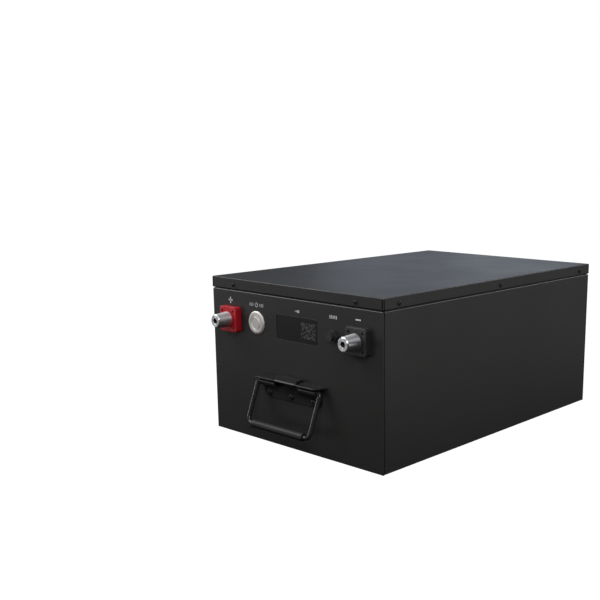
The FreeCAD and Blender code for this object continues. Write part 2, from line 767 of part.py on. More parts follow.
def vent_nut():
    start = ["vent_x", f"-{FRONT} + body_sheet", "fitting_height"]
    nut = hex_prism(8.5, 4, start, "+Y")
    return finish(cut(nut, rod("vent_thread_radius", 4, start, "+Y")), "vent_nut")


# Handles


def handle_bracket(label, turned):
    """A stamped plate folded out to a stepped ledge over two barrels, with a raised tongue."""
    body = new_body(label)
    plate = new_sketch(body, "XZ_Plane", out=FRONT)
    half = "plate_width / 2"
    rectangle(plate, f"-{half}", half, "plate_bottom", "ledge_height")
    pad(body, plate, "plate_sheet")
    low = value("plate_bottom + 1")
    round_edges(body, "plate_corner", lambda edge: along(edge, Y_AXIS) and middle(edge).z < low)
    plate_front = -value(f"{FRONT} + plate_sheet")
    round_edges(body, 0.5, lambda edge: abs(middle(edge).y - plate_front) < 0.01)
    ledge_wings(body, LEDGE_LOW, "ledge_reach")
    ledge_wings(body, "ledge_height", "ledge_step_out")
    handle_tongue(body)
    edge_depth = -value(f"{FRONT} + ledge_reach")
    outer = value("ledge_tip - 0.1")
    round_edges(body, "ledge_corner", lambda edge: (
        along(edge, Z_AXIS) and abs(middle(edge).x) > outer and abs(middle(edge).y - edge_depth) < 0.01))
    round_edges(body, 0.5, lambda edge: along(edge, X_AXIS) and abs(middle(edge).y - edge_depth) < 0.01)
    knuckle = f"(barrel_half_length - {KNUCKLE_START})"
    for side in (-1, 1):
        centre = f"{side} * (barrel_half_length - {knuckle} / 2)"
        barrel = new_sketch(body, "YZ_Plane", across=f"-{PIVOT_DEPTH}", up="pivot_height", out=centre)
        circle(barrel, 0, 0, "barrel_radius")
        pad(body, barrel, knuckle, both_ways=True)
    bore = new_sketch(body, "YZ_Plane", across=f"-{PIVOT_DEPTH}", up="pivot_height")
    circle(bore, 0, 0, "rod_radius + rod_clearance")
    pocket(body, bore, "2 * case_width", both_ways=True)
    holes = new_sketch(body, "XY_Plane", out="ledge_height")
    for side in (-1, 1):
        for step in (-1, 1):
            across = f"{side} * (ledge_hole_x + {step} * ledge_hole_pitch / 2)"
            circle(holes, across, f"-{FRONT} - ledge_hole_out", "ledge_hole_radius")
    pocket(body, holes, "plate_sheet + ledge_step")
    screws = new_sketch(body, "XZ_Plane", out=FRONT)
    for step in (-1, 0, 1):
        circle(screws, f"{step} * handle_screw_pitch", "handle_screw_height", "handle_screw_radius")
    pocket(body, screws, "3 * plate_sheet", backwards=True)
    return finish(body, label, turned)


def ledge_wings(body, top, reach):
    """Both wings of a bracket's ledge at one level; their ends flare out towards the case."""
    sketch = new_sketch(body, "XY_Plane", out=top)
    tip = f"(ledge_root - (ledge_root - ledge_tip) * {reach} / ledge_reach)"
    back = f"-{FRONT}"
    front = f"-{FRONT} - {reach}"
    for side in (-1, 1):
        inner = f"{side} * {KNUCKLE_START}"
        polygon(sketch, [
            (inner, back),
            (f"{side} * ledge_root", back),
            (f"{side} * {tip}", front),
            (inner, front),
        ])
    pad(body, sketch, "plate_sheet", backwards=True)


def handle_tongue(body):
    """The raised middle of a bracket: a flat crest, a steep step and a lip in line with the wings."""
    outline = new_sketch(body, "YZ_Plane", across=f"-{FRONT}")
    root = "ledge_height - plate_sheet"
    under_lip = f"{LEDGE_LOW} - plate_sheet"
    under_crest = "tongue_height - plate_sheet"
    slope = 1.5
    polygon(outline, [
        (0, root),
        (0, "tongue_height"),
        ("-tongue_crest", "tongue_height"),
        (f"-tongue_crest - {slope}", LEDGE_LOW),
        ("-ledge_reach", LEDGE_LOW),
        ("-ledge_reach", under_lip),
        (f"-tongue_crest + plate_sheet - {slope}", under_lip),
        ("-tongue_crest + plate_sheet", under_crest),
        ("-plate_sheet", under_crest),
        ("-plate_sheet", root),
    ])
    pad(body, outline, "2 * tongue_half_width", both_ways=True)


def bail_placement(turned, tilt):
    """Swing a bail drawn hanging straight down outwards about its pivot, at either end."""
    pivot = Vector(0, -value(PIVOT_DEPTH), value("pivot_height"))
    swing = Placement(Vector(), Rotation(X_AXIS, -tilt), pivot)
    return HALF_TURN.multiply(swing) if turned else swing


def rounded_wire(points, radii):
    """Straight runs through points, joined at each inner point by a tangent arc."""
    edges = []
    start = points[0]
    for before, corner, after, radius in zip(points, points[1:], points[2:], radii):
        back = (before - corner).normalize()
        ahead = (after - corner).normalize()
        turn = math.pi - back.getAngle(ahead)
        reach = radius * math.tan(turn / 2)
        bisector = (back + ahead).normalize()
        centre = corner + bisector * (radius / math.cos(turn / 2))
        entry = corner + back * reach
        leave = corner + ahead * reach
        edges.append(Part.LineSegment(start, entry).toShape())
        edges.append(Part.Arc(entry, centre - bisector * radius, leave).toShape())
        start = leave
    edges.append(Part.LineSegment(start, points[-1]).toShape())
    return Part.Wire(edges)


def tube(points, bends, radius):
    """A solid round bar along straight runs and arcs; its volume is checked against its length."""
    path = rounded_wire(points, bends)
    heading = points[1] - points[0]
    section = Part.Wire(Part.Circle(points[0], heading, radius).toShape())
    solid = path.makePipeShell([section], True, False)
    expected = math.pi * radius ** 2 * path.Length
    if abs(solid.Volume - expected) > 0.01 * expected:
        raise RuntimeError("a bent bar's volume is not its section times its length")
    return solid


def handle_bail(label, turned, tilt):
    """The bent steel rod: two ends turned into the barrels, two arms and the grip's run."""
    depth = -value(PIVOT_DEPTH)
    top = value("pivot_height")
    bottom = top - value("bail_drop")
    arm = value("bail_half_width")
    end = value("rod_end_x")
    corners = [(-end, top), (-arm, top), (-arm, bottom), (arm, bottom), (arm, top), (end, top)]
    route = [Vector(across, depth, up) for across, up in corners]
    piece = doc.addObject("Part::Feature", label.title().replace("_", ""))
    bends = [value(name) for name in ("bail_top_bend", "bail_bend", "bail_bend", "bail_top_bend")]
    piece.Shape = tube(route, bends, value("rod_radius"))
    piece.Placement = bail_placement(turned, tilt)
    return finish(piece, label)


def handle_grip(label, turned, tilt):
    """A moulded sleeve on the bottom run of the bail, with rounded rims and hollow ends."""
    body = new_body(label)
    profile = new_sketch(
        body, "XZ_Plane", up="pivot_height - bail_drop", out=PIVOT_DEPTH)
    bore = "rod_radius + grip_clearance"
    half = [
        ("(grip_half_length - grip_end_bore)", bore),
        ("(grip_half_length - grip_end_bore)", "grip_radius - grip_wall"),
        ("grip_half_length", "grip_radius - grip_wall"),
        ("grip_half_length", "grip_radius - grip_rounding / 2"),
        ("(grip_half_length - grip_rounding)", "grip_radius"),
    ]
    other_half = [(f"-{along_rod}", radius) for along_rod, radius in reversed(half)]
    polygon(profile, half + other_half)
    revolve(body, profile)
    body.Placement = bail_placement(turned, tilt)
    return finish(body, label)


def handle_fixings():
    """Three screws through each plate and its panel, with nuts inside."""
    shank = value("handle_screw_radius")
    nut_height = 3.2
    outwards = Rotation(Z_AXIS, Vector(0, -1, 0))
    outside = -value(f"{FRONT} + plate_sheet")
    inside = -value(f"{FRONT} - body_sheet") + nut_height
    height = value("handle_screw_height")
    heads = []
    backs = []
    for turn in (Placement(), HALF_TURN):
        for step in (-1, 0, 1):
            across = step * value("handle_screw_pitch")
            heads.append(turn.multiply(Placement(Vector(across, outside, height), outwards)))
            backs.append(turn.multiply(Placement(Vector(across, inside, height), outwards)))
    repeated("handle_screws", screw_shape(4, 2.4, shank, 9, 1.5), heads)
    repeated("handle_nuts", nut_shape(4, nut_height, shank), backs)


def handle(prefix, turned, tilt):
    handle_bracket(f"{prefix}_handle_bracket", turned)
    handle_bail(f"{prefix}_handle_bail", turned, tilt)
    handle_grip(f"{prefix}_handle_grip", turned, tilt)


# Cells and what holds them


def column_x(column):
    """The middle of one of the four columns of cells, counted from the left."""
    return f"({column - 1.5} * (cell_width + cell_gap))"


def cell(label, column, row):
    """A prismatic cell: a can with rounded corners, two terminal pads and a vent disc."""
    body = new_body(label)
    across = column_x(column)
    outline = new_sketch(body, "XY_Plane", across=across, up=row, out=BLOCK_BASE)
    rectangle(outline, "-cell_width / 2", "cell_width / 2", "-cell_length / 2", "cell_length / 2")
    pad(body, outline, "cell_height")
    round_edges(body, "cell_corner", lambda edge: along(edge, Z_AXIS))
    pads = new_sketch(body, "XY_Plane", across=across, up=row, out=f"{BLOCK_BASE} + cell_height")
    for sign in ("-", ""):
        circle(pads, 0, f"{sign}terminal_offset", "terminal_radius")
    pad(body, pads, "terminal_height")
    vent = new_sketch(body, "XY_Plane", across=across, up=row, out=f"{BLOCK_BASE} + cell_height")
    circle(vent, 0, 0, 11)
    pad(body, vent, 0.6)
    return finish(body, label)


def cells():
    """Eight cells in series: up the first column, down the second, and so on."""
    order = [(0, 0), (0, 1), (1, 1), (1, 0), (2, 0), (2, 1), (3, 1), (3, 0)]
    for number, (column, row) in enumerate(order, start=1):
        cell(f"cell_{number}", column, (FRONT_ROW, REAR_ROW)[row])


def busbars():
    """Seven flat links between neighbouring terminals."""
    level = f"{CELL_TOP} + busbar_thickness / 2"
    links = []
    across_rows = f"{FRONT_ROW} / 2 + {REAR_ROW} / 2"
    length = "cell_length + row_gap - 2 * terminal_offset + 16"
    for column in range(4):
        centre = [column_x(column), across_rows, level]
        links.append(block(["busbar_width", length, "busbar_thickness"], centre))
    sideways = ["cell_width + cell_gap + 16", "busbar_width", "busbar_thickness"]
    rear = f"{REAR_ROW} + terminal_offset"
    front = f"{FRONT_ROW} - terminal_offset"
    for column, depth in ((0.5, rear), (1.5, front), (2.5, rear)):
        links.append(block(sideways, [column_x(column), depth, level]))
    return finish(group(*links), "busbars")


def board(label, size, centre):
    return finish(block(size, centre), label)


def boards():
    """The insulating boards round the block, the mat under it and the spacer over it."""
    block_width = "(4 * cell_width + 3 * cell_gap)"
    block_depth = "(2 * cell_length + row_gap)"
    middle_y = f"{FRONT_ROW} / 2 + {REAR_ROW} / 2"
    half_up = f"{BLOCK_BASE} + cell_height / 2"
    thin = "cell_height - 8"
    board("row_divider", [block_width, "row_gap - 0.2", thin], [0, middle_y, half_up])
    front_y = f"{BLOCK_FRONT} - end_board / 2 - 0.2"
    rear_y = f"{REAR_ROW} + cell_length / 2 + end_board / 2 + 0.2"
    board("front_end_board", [block_width, "end_board", "cell_height"], [0, front_y, half_up])
    board("rear_end_board", [block_width, "end_board", "cell_height"], [0, rear_y, half_up])
    spare = f"({BODY_WIDTH} / 2 - body_sheet - {block_width} / 2)"
    side_size = [f"{spare} - 0.6", f"{block_depth} - 40", "cell_height - 20"]
    sides = [
        block(side_size, [f"{sign} * ({block_width} / 2 + {spare} / 2)", middle_y, half_up])
        for sign in (-1, 1)
    ]
    finish(group(*sides), "side_spacers")
    mat_size = [block_width, f"{block_depth} + 2 * end_board", "mat_thickness"]
    board("base_mat", mat_size, [0, middle_y, "body_sheet + mat_thickness / 2"])
    cover_level = f"{CELL_TOP} + busbar_thickness + 1.2"
    board("cover_board", [block_width, f"{block_depth} + 4", 1], [0, middle_y, cover_level])
    level = f"({CELL_TOP} + busbar_thickness + 1.7 + case_height - lid_sheet) / 2"
    thickness = f"case_height - lid_sheet - {CELL_TOP} - busbar_thickness - 1.9"
    spacer_size = [f"{block_width} - 60", f"{block_depth} - 60", thickness]
    board("lid_spacer", spacer_size, [0, middle_y, level])


def cell_separators():
    """Three thin boards between the columns of each row."""
    pieces = []
    for row in (FRONT_ROW, REAR_ROW):
        for column in (0.5, 1.5, 2.5):
            centre = [column_x(column), row, f"{BLOCK_BASE} + cell_height / 2"]
            pieces.append(block(["cell_gap - 0.1", "cell_length - 8", "cell_height - 8"], centre))
    return finish(group(*pieces), "cell_separators")


def block_braces():
    """An angle bar on the floor in front of the block, and a bar between it and the rear panel."""
    width = f"{BODY_WIDTH} - 2 * body_sheet - 1"
    depth = f"({BLOCK_FACE} - 1)"
    upright = block([width, 2, 30], [0, depth, "body_sheet + 15"])
    foot = block([width, 22, 2], [0, f"{depth} - 10", "body_sheet + 1"])
    rear_face = f"({REAR_ROW} + cell_length / 2 + 0.2 + end_board)"
    room = f"({FRONT} - body_sheet - {rear_face})"
    bar = block(["case_width - 60", room, 30], [0, f"{rear_face} + {room} / 2", 120])
    return finish(group(fuse(upright, foot), bar), "block_braces")


# Electronics and wiring: how far each layer stands in front of the block


PLATE_FACE = f"({BLOCK_FACE} - 6.5)"
BOARD_FACE = f"({PLATE_FACE} - 5 - 4)"
BOARD_FRONT = f"({BOARD_FACE} - 1.6)"
FUSE_DEPTH = f"({BLOCK_FACE} - 14)"
LUG_DEPTH = f"({LUG_FACE} + lug_thickness / 2)"


def heat_plate():
    """The aluminium plate that carries the management board, on four posts."""
    size = [170, 5, "heat_plate_height"]
    finish(block(size, ["heat_plate_x", f"{PLATE_FACE} - 2.5", "heat_plate_height"]), "heat_plate")


def posts():
    """Posts behind the heat plate, and between it and the board."""
    pieces = []
    for side in (-1, 1):
        for level in (-1, 1):
            across = f"heat_plate_x + {72 * side}"
            height = f"heat_plate_height + {48 * level}"
            pieces.append(rod(4, 6.5, [across, BLOCK_FACE, height], "-Y"))
            pieces.append(rod(3, 4, [across, f"{PLATE_FACE} - 5", height], "-Y"))
    return finish(group(*pieces), "board_posts")


def management_board():
    """The battery management board: transistors in a row, a plug and the outgoing terminal."""
    base = block([166, 1.6, 110], ["heat_plate_x + 8", f"{BOARD_FACE} - 0.8", "heat_plate_height"])
    pieces = [base]
    for step in range(9):
        across = f"{15 * step - 40}"
        pieces.append(block([9, 3, 14], [across, f"{BOARD_FRONT} - 1.5", "heat_plate_height + 32"]))
    pieces.append(block([36, 8, 8], [10, f"{BOARD_FRONT} - 4", "heat_plate_height - 30"]))
    pieces.append(block([16, 12, 12], [95, f"{BOARD_FRONT} - 6", "heat_plate_height - 34"]))
    return finish(fuse(*pieces), "management_board")


def main_fuse():
    """A bolted fuse in the positive line: a round body between two blades."""
    body = rod(11, 34, ["positive_x", FUSE_DEPTH, 132], "+Z")
    lower = block([18, 3, 18], ["positive_x", FUSE_DEPTH, 124])
    upper = block([18, 3, 18], ["positive_x", FUSE_DEPTH, 174])
    return finish(fuse(body, lower, upper), "main_fuse")


def pack_link(label, column, strap_depth, bottom):
    """A copper strap from an end cell's front terminal, over the end board and down."""
    across = column_x(column)
    top = f"({CELL_TOP} + busbar_thickness)"
    end = f"({FRONT_ROW} - terminal_offset + 8)"
    front = f"({strap_depth} - 1)"
    run = f"({end} - {front})"
    drop = f"({top} - {bottom})"
    level = f"{top} - busbar_thickness / 2"
    over = block([18, run, "busbar_thickness"], [across, f"{front} + {run} / 2", level])
    down = block([18, 2, drop], [across, strap_depth, f"{bottom} + {drop} / 2"])
    return finish(fuse(over, down), label)


def cable_lugs():
    """Lugs on the inner ends of both studs, their barrels pointing down."""
    pieces = []
    for across in ("positive_x", "negative_x"):
        plate = block([18, "lug_thickness", 24], [across, LUG_DEPTH, "fitting_height - 3"])
        eye = rod("stud_thread_radius", "lug_thickness", [across, LUG_FACE, "fitting_height"], "+Y")
        barrel = rod("cable_radius + 1.2", 14, [across, LUG_DEPTH, "fitting_height - 27"], "+Z")
        pieces.append(cut(fuse(plate, barrel), eye))
    return finish(group(*pieces), "cable_lugs")


def cable(label, route, bend, radius):
    """A cable in its sleeve, along straight runs and arcs."""
    points = [Vector(*(value(part) for part in point)) for point in route]
    piece = doc.addObject("Part::Feature", label.title().replace("_", ""))
    piece.Shape = tube(points, [bend] * (len(points) - 2), value(radius))
    return finish(piece, label)


def cables():
    """The main cables from the lugs to the fuse and the board, and the display's harness."""
    lug_end = "fitting_height - 27"
    cable("positive_cable", [
        ("positive_x", LUG_DEPTH, lug_end),
        ("positive_x", LUG_DEPTH, 82),
        ("positive_x", FUSE_DEPTH, 82),
        ("positive_x", FUSE_DEPTH, 115),
    ], 24, "cable_radius")
    board_depth = f"{BOARD_FRONT} - 6"
    cable("negative_cable", [
        ("negative_x", LUG_DEPTH, lug_end),
        ("negative_x", LUG_DEPTH, 46),
        (95, board_depth, 46),
        (95, board_depth, "heat_plate_height - 40"),
    ], 24, "cable_radius")
    cable("signal_harness", [
        (10, f"{BOARD_FRONT} - 8", "heat_plate_height - 30"),
        (10, f"{BOARD_FRONT} - 30", "heat_plate_height - 30"),
        ("display_x + 24", f"{DISPLAY_BACK} + 25", "fitting_height"),
        ("display_x + 24", f"{DISPLAY_BACK} + 7.6", "fitting_height"),
    ], 9, "harness_radius")


def build():
    case_shell()
    end_panel("front_panel", front_openings)
    end_panel("rear_panel", no_openings, turned=True)
    lid()
    lid_gasket()
    lid_fixings()
    for sign in ("positive", "negative"):
        terminal_flange(f"{sign}_flange", f"{sign}_x")
        terminal_stud(f"{sign}_stud", f"{sign}_x")
    flange_screws()
    inner_insulators()
    stud_nuts()
    button_bezel()
    button_cap()
    switch_body()
    button_nut()
    display_window()
    display_gasket()
    display_board()
    vent_body()
    vent_cap()
    vent_nut()
    handle("front", False, value("front_bail_tilt"))
    handle("rear", True, 0)
    handle_fixings()
    cells()
    busbars()
    boards()
    cell_separators()
    block_braces()
    heat_plate()
    posts()
    management_board()
    main_fuse()
    pack_link("positive_link", 0, f"({FUSE_DEPTH} + 2.5)", 166)
    pack_link("negative_link", 3, f"({BOARD_FACE} + 1)", 150)
    cable_lugs()
    cables()
    doc.recompute()


def check():
    """Stop before anything is written if an object failed or a sub-part is unsound."""
    failed = [obj.Name for obj in doc.Objects if {"Invalid", "Error"} & set(obj.State)]
    if failed:
        raise RuntimeError(f"failed objects: {failed}")
    unsound = [part.Label for part in PARTS if part.Shape.isNull() or not part.Shape.isValid()]
    if unsound:
        raise RuntimeError(f"unsound sub-parts: {unsound}")


def write():
    os.makedirs("parts", exist_ok=True)
    for part in PARTS:
        part.Shape.exportStep(f"parts/{part.Label}.step")
    print(len(PARTS), "sub-parts written")


build()
check()
write()
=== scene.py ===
"""The looks of the battery pack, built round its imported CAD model. Metres; +Z up, front at -Y."""
import json
import math
import random

import bmesh
import bpy
from mathutils import Euler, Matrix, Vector


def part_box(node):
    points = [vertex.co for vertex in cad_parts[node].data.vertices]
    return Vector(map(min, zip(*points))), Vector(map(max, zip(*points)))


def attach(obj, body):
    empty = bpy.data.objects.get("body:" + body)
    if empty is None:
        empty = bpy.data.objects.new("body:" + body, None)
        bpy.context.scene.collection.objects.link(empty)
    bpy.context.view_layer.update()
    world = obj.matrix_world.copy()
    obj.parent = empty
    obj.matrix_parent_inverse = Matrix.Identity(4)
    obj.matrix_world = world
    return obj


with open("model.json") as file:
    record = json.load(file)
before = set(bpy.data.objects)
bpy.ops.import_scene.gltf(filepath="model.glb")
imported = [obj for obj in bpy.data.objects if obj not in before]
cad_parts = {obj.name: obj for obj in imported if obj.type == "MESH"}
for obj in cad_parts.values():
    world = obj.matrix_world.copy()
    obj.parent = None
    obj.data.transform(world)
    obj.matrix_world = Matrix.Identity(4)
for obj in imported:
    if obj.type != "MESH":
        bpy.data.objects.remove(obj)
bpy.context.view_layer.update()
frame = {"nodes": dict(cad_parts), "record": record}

NODES = frame["nodes"]
MM = 0.001


# Places, all from the frame

LID_LOW, LID_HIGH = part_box("lid")
CASE_WIDTH = LID_HIGH.x - LID_LOW.x
CASE_HEIGHT = LID_HIGH.z
PANEL_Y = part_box("front_panel")[0].y

# Sizes of what Blender adds to the frame

INK = 0.00006                   # how far a print stands off its surface
SIGN_SIZE = 8.5 * MM            # plus and minus
SIGN_STROKE = 1.8 * MM
SIGN_RISE = 25.5 * MM           # over the middle of the terminal flanges
SIGN_SHIFT = 3 * MM             # to the left of the middle of a flange
LABEL_RISE = 24 * MM            # of the smaller marks, over the same middle
WINDOW_RIM = 0.5 * MM
WINDOW_RIM_DEPTH = 0.3 * MM
DOT_PITCH = 1.9 * MM
DOT_COLUMNS = 14
DOT_ROWS = 11
DOT_CHANCE = 0.55
DOT_MARGIN = 6 * MM             # from the window's right edge to the first column
# sizes of the near-black strips of painted shade in the corner slits
SHADE_STRIP_WIDTH = 2.2 * MM
SHADE_STRIP_INSET = 0.3 * MM           # from the corner
SHADE_STRIP_DEPTH = 0.4 * MM
LID_SHADE_STRIP_TOP = CASE_HEIGHT - 1.5 * MM
CASE_SHADE_STRIP_TOP = LID_LOW.z - 3.5 * MM
SHADE_STRIP_FREE = 1 * MM              # left free at the two ends together
FOOT_HEIGHT = 0.95 * MM         # of the painted shade line along the foot of the lid's skirt
FOOT_FADE = 0.1 * MM
FOOT_SLACK = 0.05 * MM
BORE_EDGE = (3.55 * MM, 3.75 * MM)      # where a stud's thread gives way to its turned end


def middle_of(node):
    low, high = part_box(node)
    return (low + high) / 2


# Node helpers

MIDDLE = (0.3, 0.7)     # the part of a noise's range that counts


def add_node(tree, kind, inputs=None, **settings):
    """A shader node with its settings, and its inputs set or linked."""
    made = tree.nodes.new(kind)
    for name, setting in settings.items():
        setattr(made, name, setting)
    for name, content in (inputs or {}).items():
        if isinstance(content, bpy.types.NodeSocket):
            tree.links.new(content, made.inputs[name])
        else:
            made.inputs[name].default_value = content
    return made


def new_material(name):
    """An empty node material with a Principled shader."""
    material = bpy.data.materials.new(name)
    material.use_nodes = True
    tree = material.node_tree
    tree.nodes.clear()
    shader = tree.nodes.new("ShaderNodeBsdfPrincipled")
    output = tree.nodes.new("ShaderNodeOutputMaterial")
    tree.links.new(shader.outputs["BSDF"], output.inputs["Surface"])
    return material, tree, shader


def places(tree, stretch=(1, 1, 1), centre=(0, 0, 0)):
    """Metres in the row frame, moved to a centre and stretched."""
    coordinates = add_node(tree, "ShaderNodeTexCoord")
    moved = add_node(
        tree, "ShaderNodeVectorMath",
        {0: coordinates.outputs["Object"], 1: centre}, operation="SUBTRACT")
    stretched = add_node(
        tree, "ShaderNodeVectorMath", {0: moved.outputs[0], 1: stretch}, operation="MULTIPLY")
    return stretched.outputs[0]


def noise(tree, where, scale, detail=3, roughness=0.5):
    made = add_node(
        tree, "ShaderNodeTexNoise",
        {"Vector": where, "Scale": scale, "Detail": detail, "Roughness": roughness})
    return made.outputs["Fac"]


def spread(tree, amount, low, high):
    """An amount from 0 to 1, mapped to a range by its middle part."""
    start, end = MIDDLE
    made = add_node(
        tree, "ShaderNodeMapRange",
        {"Value": amount, "From Min": start, "From Max": end, "To Min": low, "To Max": high})
    return made.outputs["Result"]


def between(tree, amount, dark, light):
    """A colour between two, by the middle part of an amount from 0 to 1."""
    ramp = add_node(tree, "ShaderNodeValToRGB", {"Fac": amount})
    for element, position, colour in zip(ramp.color_ramp.elements, MIDDLE, (dark, light)):
        element.position = position
        element.color = (*colour, 1)
    return ramp.outputs["Color"]


def bump(tree, shader, height, distance, under=None):
    """Relief of a height in metres on the shader, over an earlier relief if there is one."""
    made = add_node(tree, "ShaderNodeBump", {"Height": height, "Distance": distance})
    if under is not None:
        tree.links.new(under, made.inputs["Normal"])
    tree.links.new(made.outputs["Normal"], shader.inputs["Normal"])
    return made.outputs["Normal"]


def surface(name, dark, light, roughness, grain, depth, metallic=0.0, specular=0.5,
            stretch=(1, 1, 1), patches=9):
    """A finish with mottled colour, uneven gloss and a fine grain of the given scale and depth."""
    material, tree, shader = new_material(name)
    where = places(tree, stretch)
    mottled = noise(tree, where, patches)
    tree.links.new(between(tree, mottled, dark, light), shader.inputs["Base Color"])
    uneven = noise(tree, where, patches * 4, detail=5)
    tree.links.new(spread(tree, uneven, *roughness), shader.inputs["Roughness"])
    bump(tree, shader, noise(tree, where, grain), depth)
    shader.inputs["Metallic"].default_value = metallic
    shader.inputs["Specular IOR Level"].default_value = specular
    return material


def mixed(tree, amount, plain, other):
    """One value or the other by an amount; each is a number or a socket."""
    made = add_node(tree, "ShaderNodeMapRange", {"Value": amount, "To Min": plain, "To Max": other})
    return made.outputs["Result"]


def mixed_colour(tree, amount, plain, other):
    """A socket's colour or another one by an amount."""
    factor, first, second, result = 0, 6, 7, 2      # a Mix node's places for colours
    made = add_node(
        tree, "ShaderNodeMix", {factor: amount, first: plain, second: (*other, 1)},
        data_type="RGBA")
    return made.outputs[result]


def combined(tree, first, second, operation):
    made = add_node(tree, "ShaderNodeMath", {0: first, 1: second}, operation=operation)
    return made.outputs[0]


def distance_from(tree, centre):
    """The distance from the line through a centre that runs from front to back."""
    where = places(tree, stretch=(1, 0, 1), centre=centre)
    return add_node(tree, "ShaderNodeVectorMath", {0: where}, operation="LENGTH").outputs["Value"]


def mask(tree, amount, whole, none):
    """1 where the amount is at one value or past it, fading to 0 at the other."""
    made = add_node(
        tree, "ShaderNodeMapRange", {"Value": amount, "From Min": none, "From Max": whole})
    return made.outputs["Result"]


def bends(tree):
    """1 where the surface turns between two walls, 0 on the flat walls themselves."""
    facing = add_node(tree, "ShaderNodeNewGeometry").outputs["True Normal"]
    sizes = add_node(tree, "ShaderNodeVectorMath", {0: facing}, operation="ABSOLUTE").outputs[0]
    parts = add_node(tree, "ShaderNodeSeparateXYZ", {"Vector": sizes}).outputs
    level = combined(tree, parts["X"], parts["Y"], "MAXIMUM")
    most = combined(tree, level, parts["Z"], "MAXIMUM")
    return mask(tree, most, 0.94, 0.985)


def skirt_foot_shade(tree):
    """1 in the last millimetre of the lid's skirt, where a near-black line is painted as the shade
    of the seam under it.
    """
    up = add_node(tree, "ShaderNodeSeparateXYZ", {"Vector": places(tree)}).outputs["Z"]
    edge = LID_LOW.z + FOOT_HEIGHT
    below = mask(tree, up, edge, edge + FOOT_FADE)
    above = combined(tree, up, LID_LOW.z - FOOT_SLACK, "GREATER_THAN")
    return combined(tree, below, above, "MULTIPLY")


def painted_bore_shade(tree, studs):
    """1 inside the tapped holes of two studs, where dark shade is painted, 0 on their turned
    outsides.
    """
    nearest = combined(tree, *(distance_from(tree, middle_of(stud)) for stud in studs), "MINIMUM")
    return mask(tree, nearest, *BORE_EDGE)


def grey(level, warm=0.0):
    return (level * (1 + warm), level, level * (1 - warm))


# Materials


def case_paint():
    """Satin black powder coat with faint handling haze, thin and shiny where the sheet bends, and a
    painted shade line along the foot of the lid's skirt.
    """
    material, tree, shader = new_material("case_paint")
    where = places(tree)
    mottled = noise(tree, where, 6)
    coat = between(tree, mottled, grey(0.024, 0.02), grey(0.028, 0.02))
    # painted shade: a near-black, mirror-like band along the foot of the lid's skirt stands in for
    # the shadow of the seam under it
    foot = skirt_foot_shade(tree)
    tree.links.new(mixed_colour(tree, foot, coat, grey(0.002)), shader.inputs["Base Color"])
    tree.links.new(foot, shader.inputs["Metallic"])
    haze = noise(tree, where, 11, detail=6, roughness=0.6)
    gloss = mixed(tree, bends(tree), spread(tree, haze, 0.36, 0.42), 0.22)
    tree.links.new(gloss, shader.inputs["Roughness"])
    waves = bump(tree, shader, noise(tree, where, 260, detail=2), 0.00006)
    bump(tree, shader, noise(tree, where, 1500, detail=2), 0.00003, under=waves)
    shader.inputs["Specular IOR Level"].default_value = 0.28
    return material


def turned_nickel():
    """Bright nickel with the fine rings of the lathe, and painted shade, near-black and rough,
    inside the tapped holes.
    """
    material, tree, shader = new_material("turned_nickel")
    where = places(tree, stretch=(0.02, 1, 0.02))
    rings = noise(tree, where, 2600, detail=2)
    # painted shade: near-black, rough and not metallic inside the tapped holes, where shade falls
    bore_shade = painted_bore_shade(tree, ("positive_stud", "negative_stud"))
    metal = between(tree, rings, (0.76, 0.77, 0.79), (0.87, 0.88, 0.90))
    tree.links.new(mixed_colour(tree, bore_shade, metal, grey(0.006)), shader.inputs["Base Color"])
    gloss = mixed(tree, bore_shade, spread(tree, noise(tree, where, 700), 0.34, 0.42), 0.7)
    tree.links.new(gloss, shader.inputs["Roughness"])
    tree.links.new(mixed(tree, bore_shade, 0.9, 0.0), shader.inputs["Metallic"])
    bump(tree, shader, rings, 0.00002)
    around = add_node(tree, "ShaderNodeTangent", direction_type="RADIAL", axis="Y")
    tree.links.new(around.outputs["Tangent"], shader.inputs["Tangent"])
    shader.inputs["Anisotropic"].default_value = 0.85
    shader.inputs["Anisotropic Rotation"].default_value = 0.25
    return material


def spun_steel(centre):
    """Stainless steel brushed in circles round the middle of the button."""
    material, tree, shader = new_material("spun_steel")
    rings = add_node(
        tree, "ShaderNodeTexNoise", {"W": distance_from(tree, centre), "Scale": 5200, "Detail": 3},
        noise_dimensions="1D").outputs["Fac"]
    tree.links.new(
        between(tree, rings, (0.66, 0.635, 0.61), (0.76, 0.735, 0.71)), shader.inputs["Base Color"])
    tree.links.new(spread(tree, rings, 0.52, 0.6), shader.inputs["Roughness"])
    bump(tree, shader, rings, 0.00002)
    shader.inputs["Metallic"].default_value = 0.5
    return material


def board_weave():
    """Glass-fibre board: a fine woven check under a resin surface."""
    material, tree, shader = new_material("board_weave")
    where = places(tree)
    check = add_node(
        tree, "ShaderNodeTexChecker",
        {"Vector": where, "Scale": 700, "Color1": (0.30, 0.43, 0.30, 1),
         "Color2": (0.25, 0.37, 0.26, 1)})
    tree.links.new(check.outputs["Color"], shader.inputs["Base Color"])
    tree.links.new(spread(tree, noise(tree, where, 90), 0.35, 0.5), shader.inputs["Roughness"])
    bump(tree, shader, check.outputs["Fac"], 0.00003)
    return material


def circuit():
    """Green solder mask with the relief of its tracks."""
    material, tree, shader = new_material("circuit")
    where = places(tree)
    tracks = add_node(
        tree, "ShaderNodeTexBrick",
        {"Vector": where, "Scale": 160, "Mortar Size": 0.08, "Color1": (0.008, 0.07, 0.03, 1),
         "Color2": (0.006, 0.055, 0.025, 1), "Mortar": (0.02, 0.14, 0.07, 1)})
    tree.links.new(tracks.outputs["Color"], shader.inputs["Base Color"])
    tree.links.new(spread(tree, noise(tree, where, 60), 0.25, 0.4), shader.inputs["Roughness"])
    bump(tree, shader, tracks.outputs["Fac"], 0.00004)
    return material


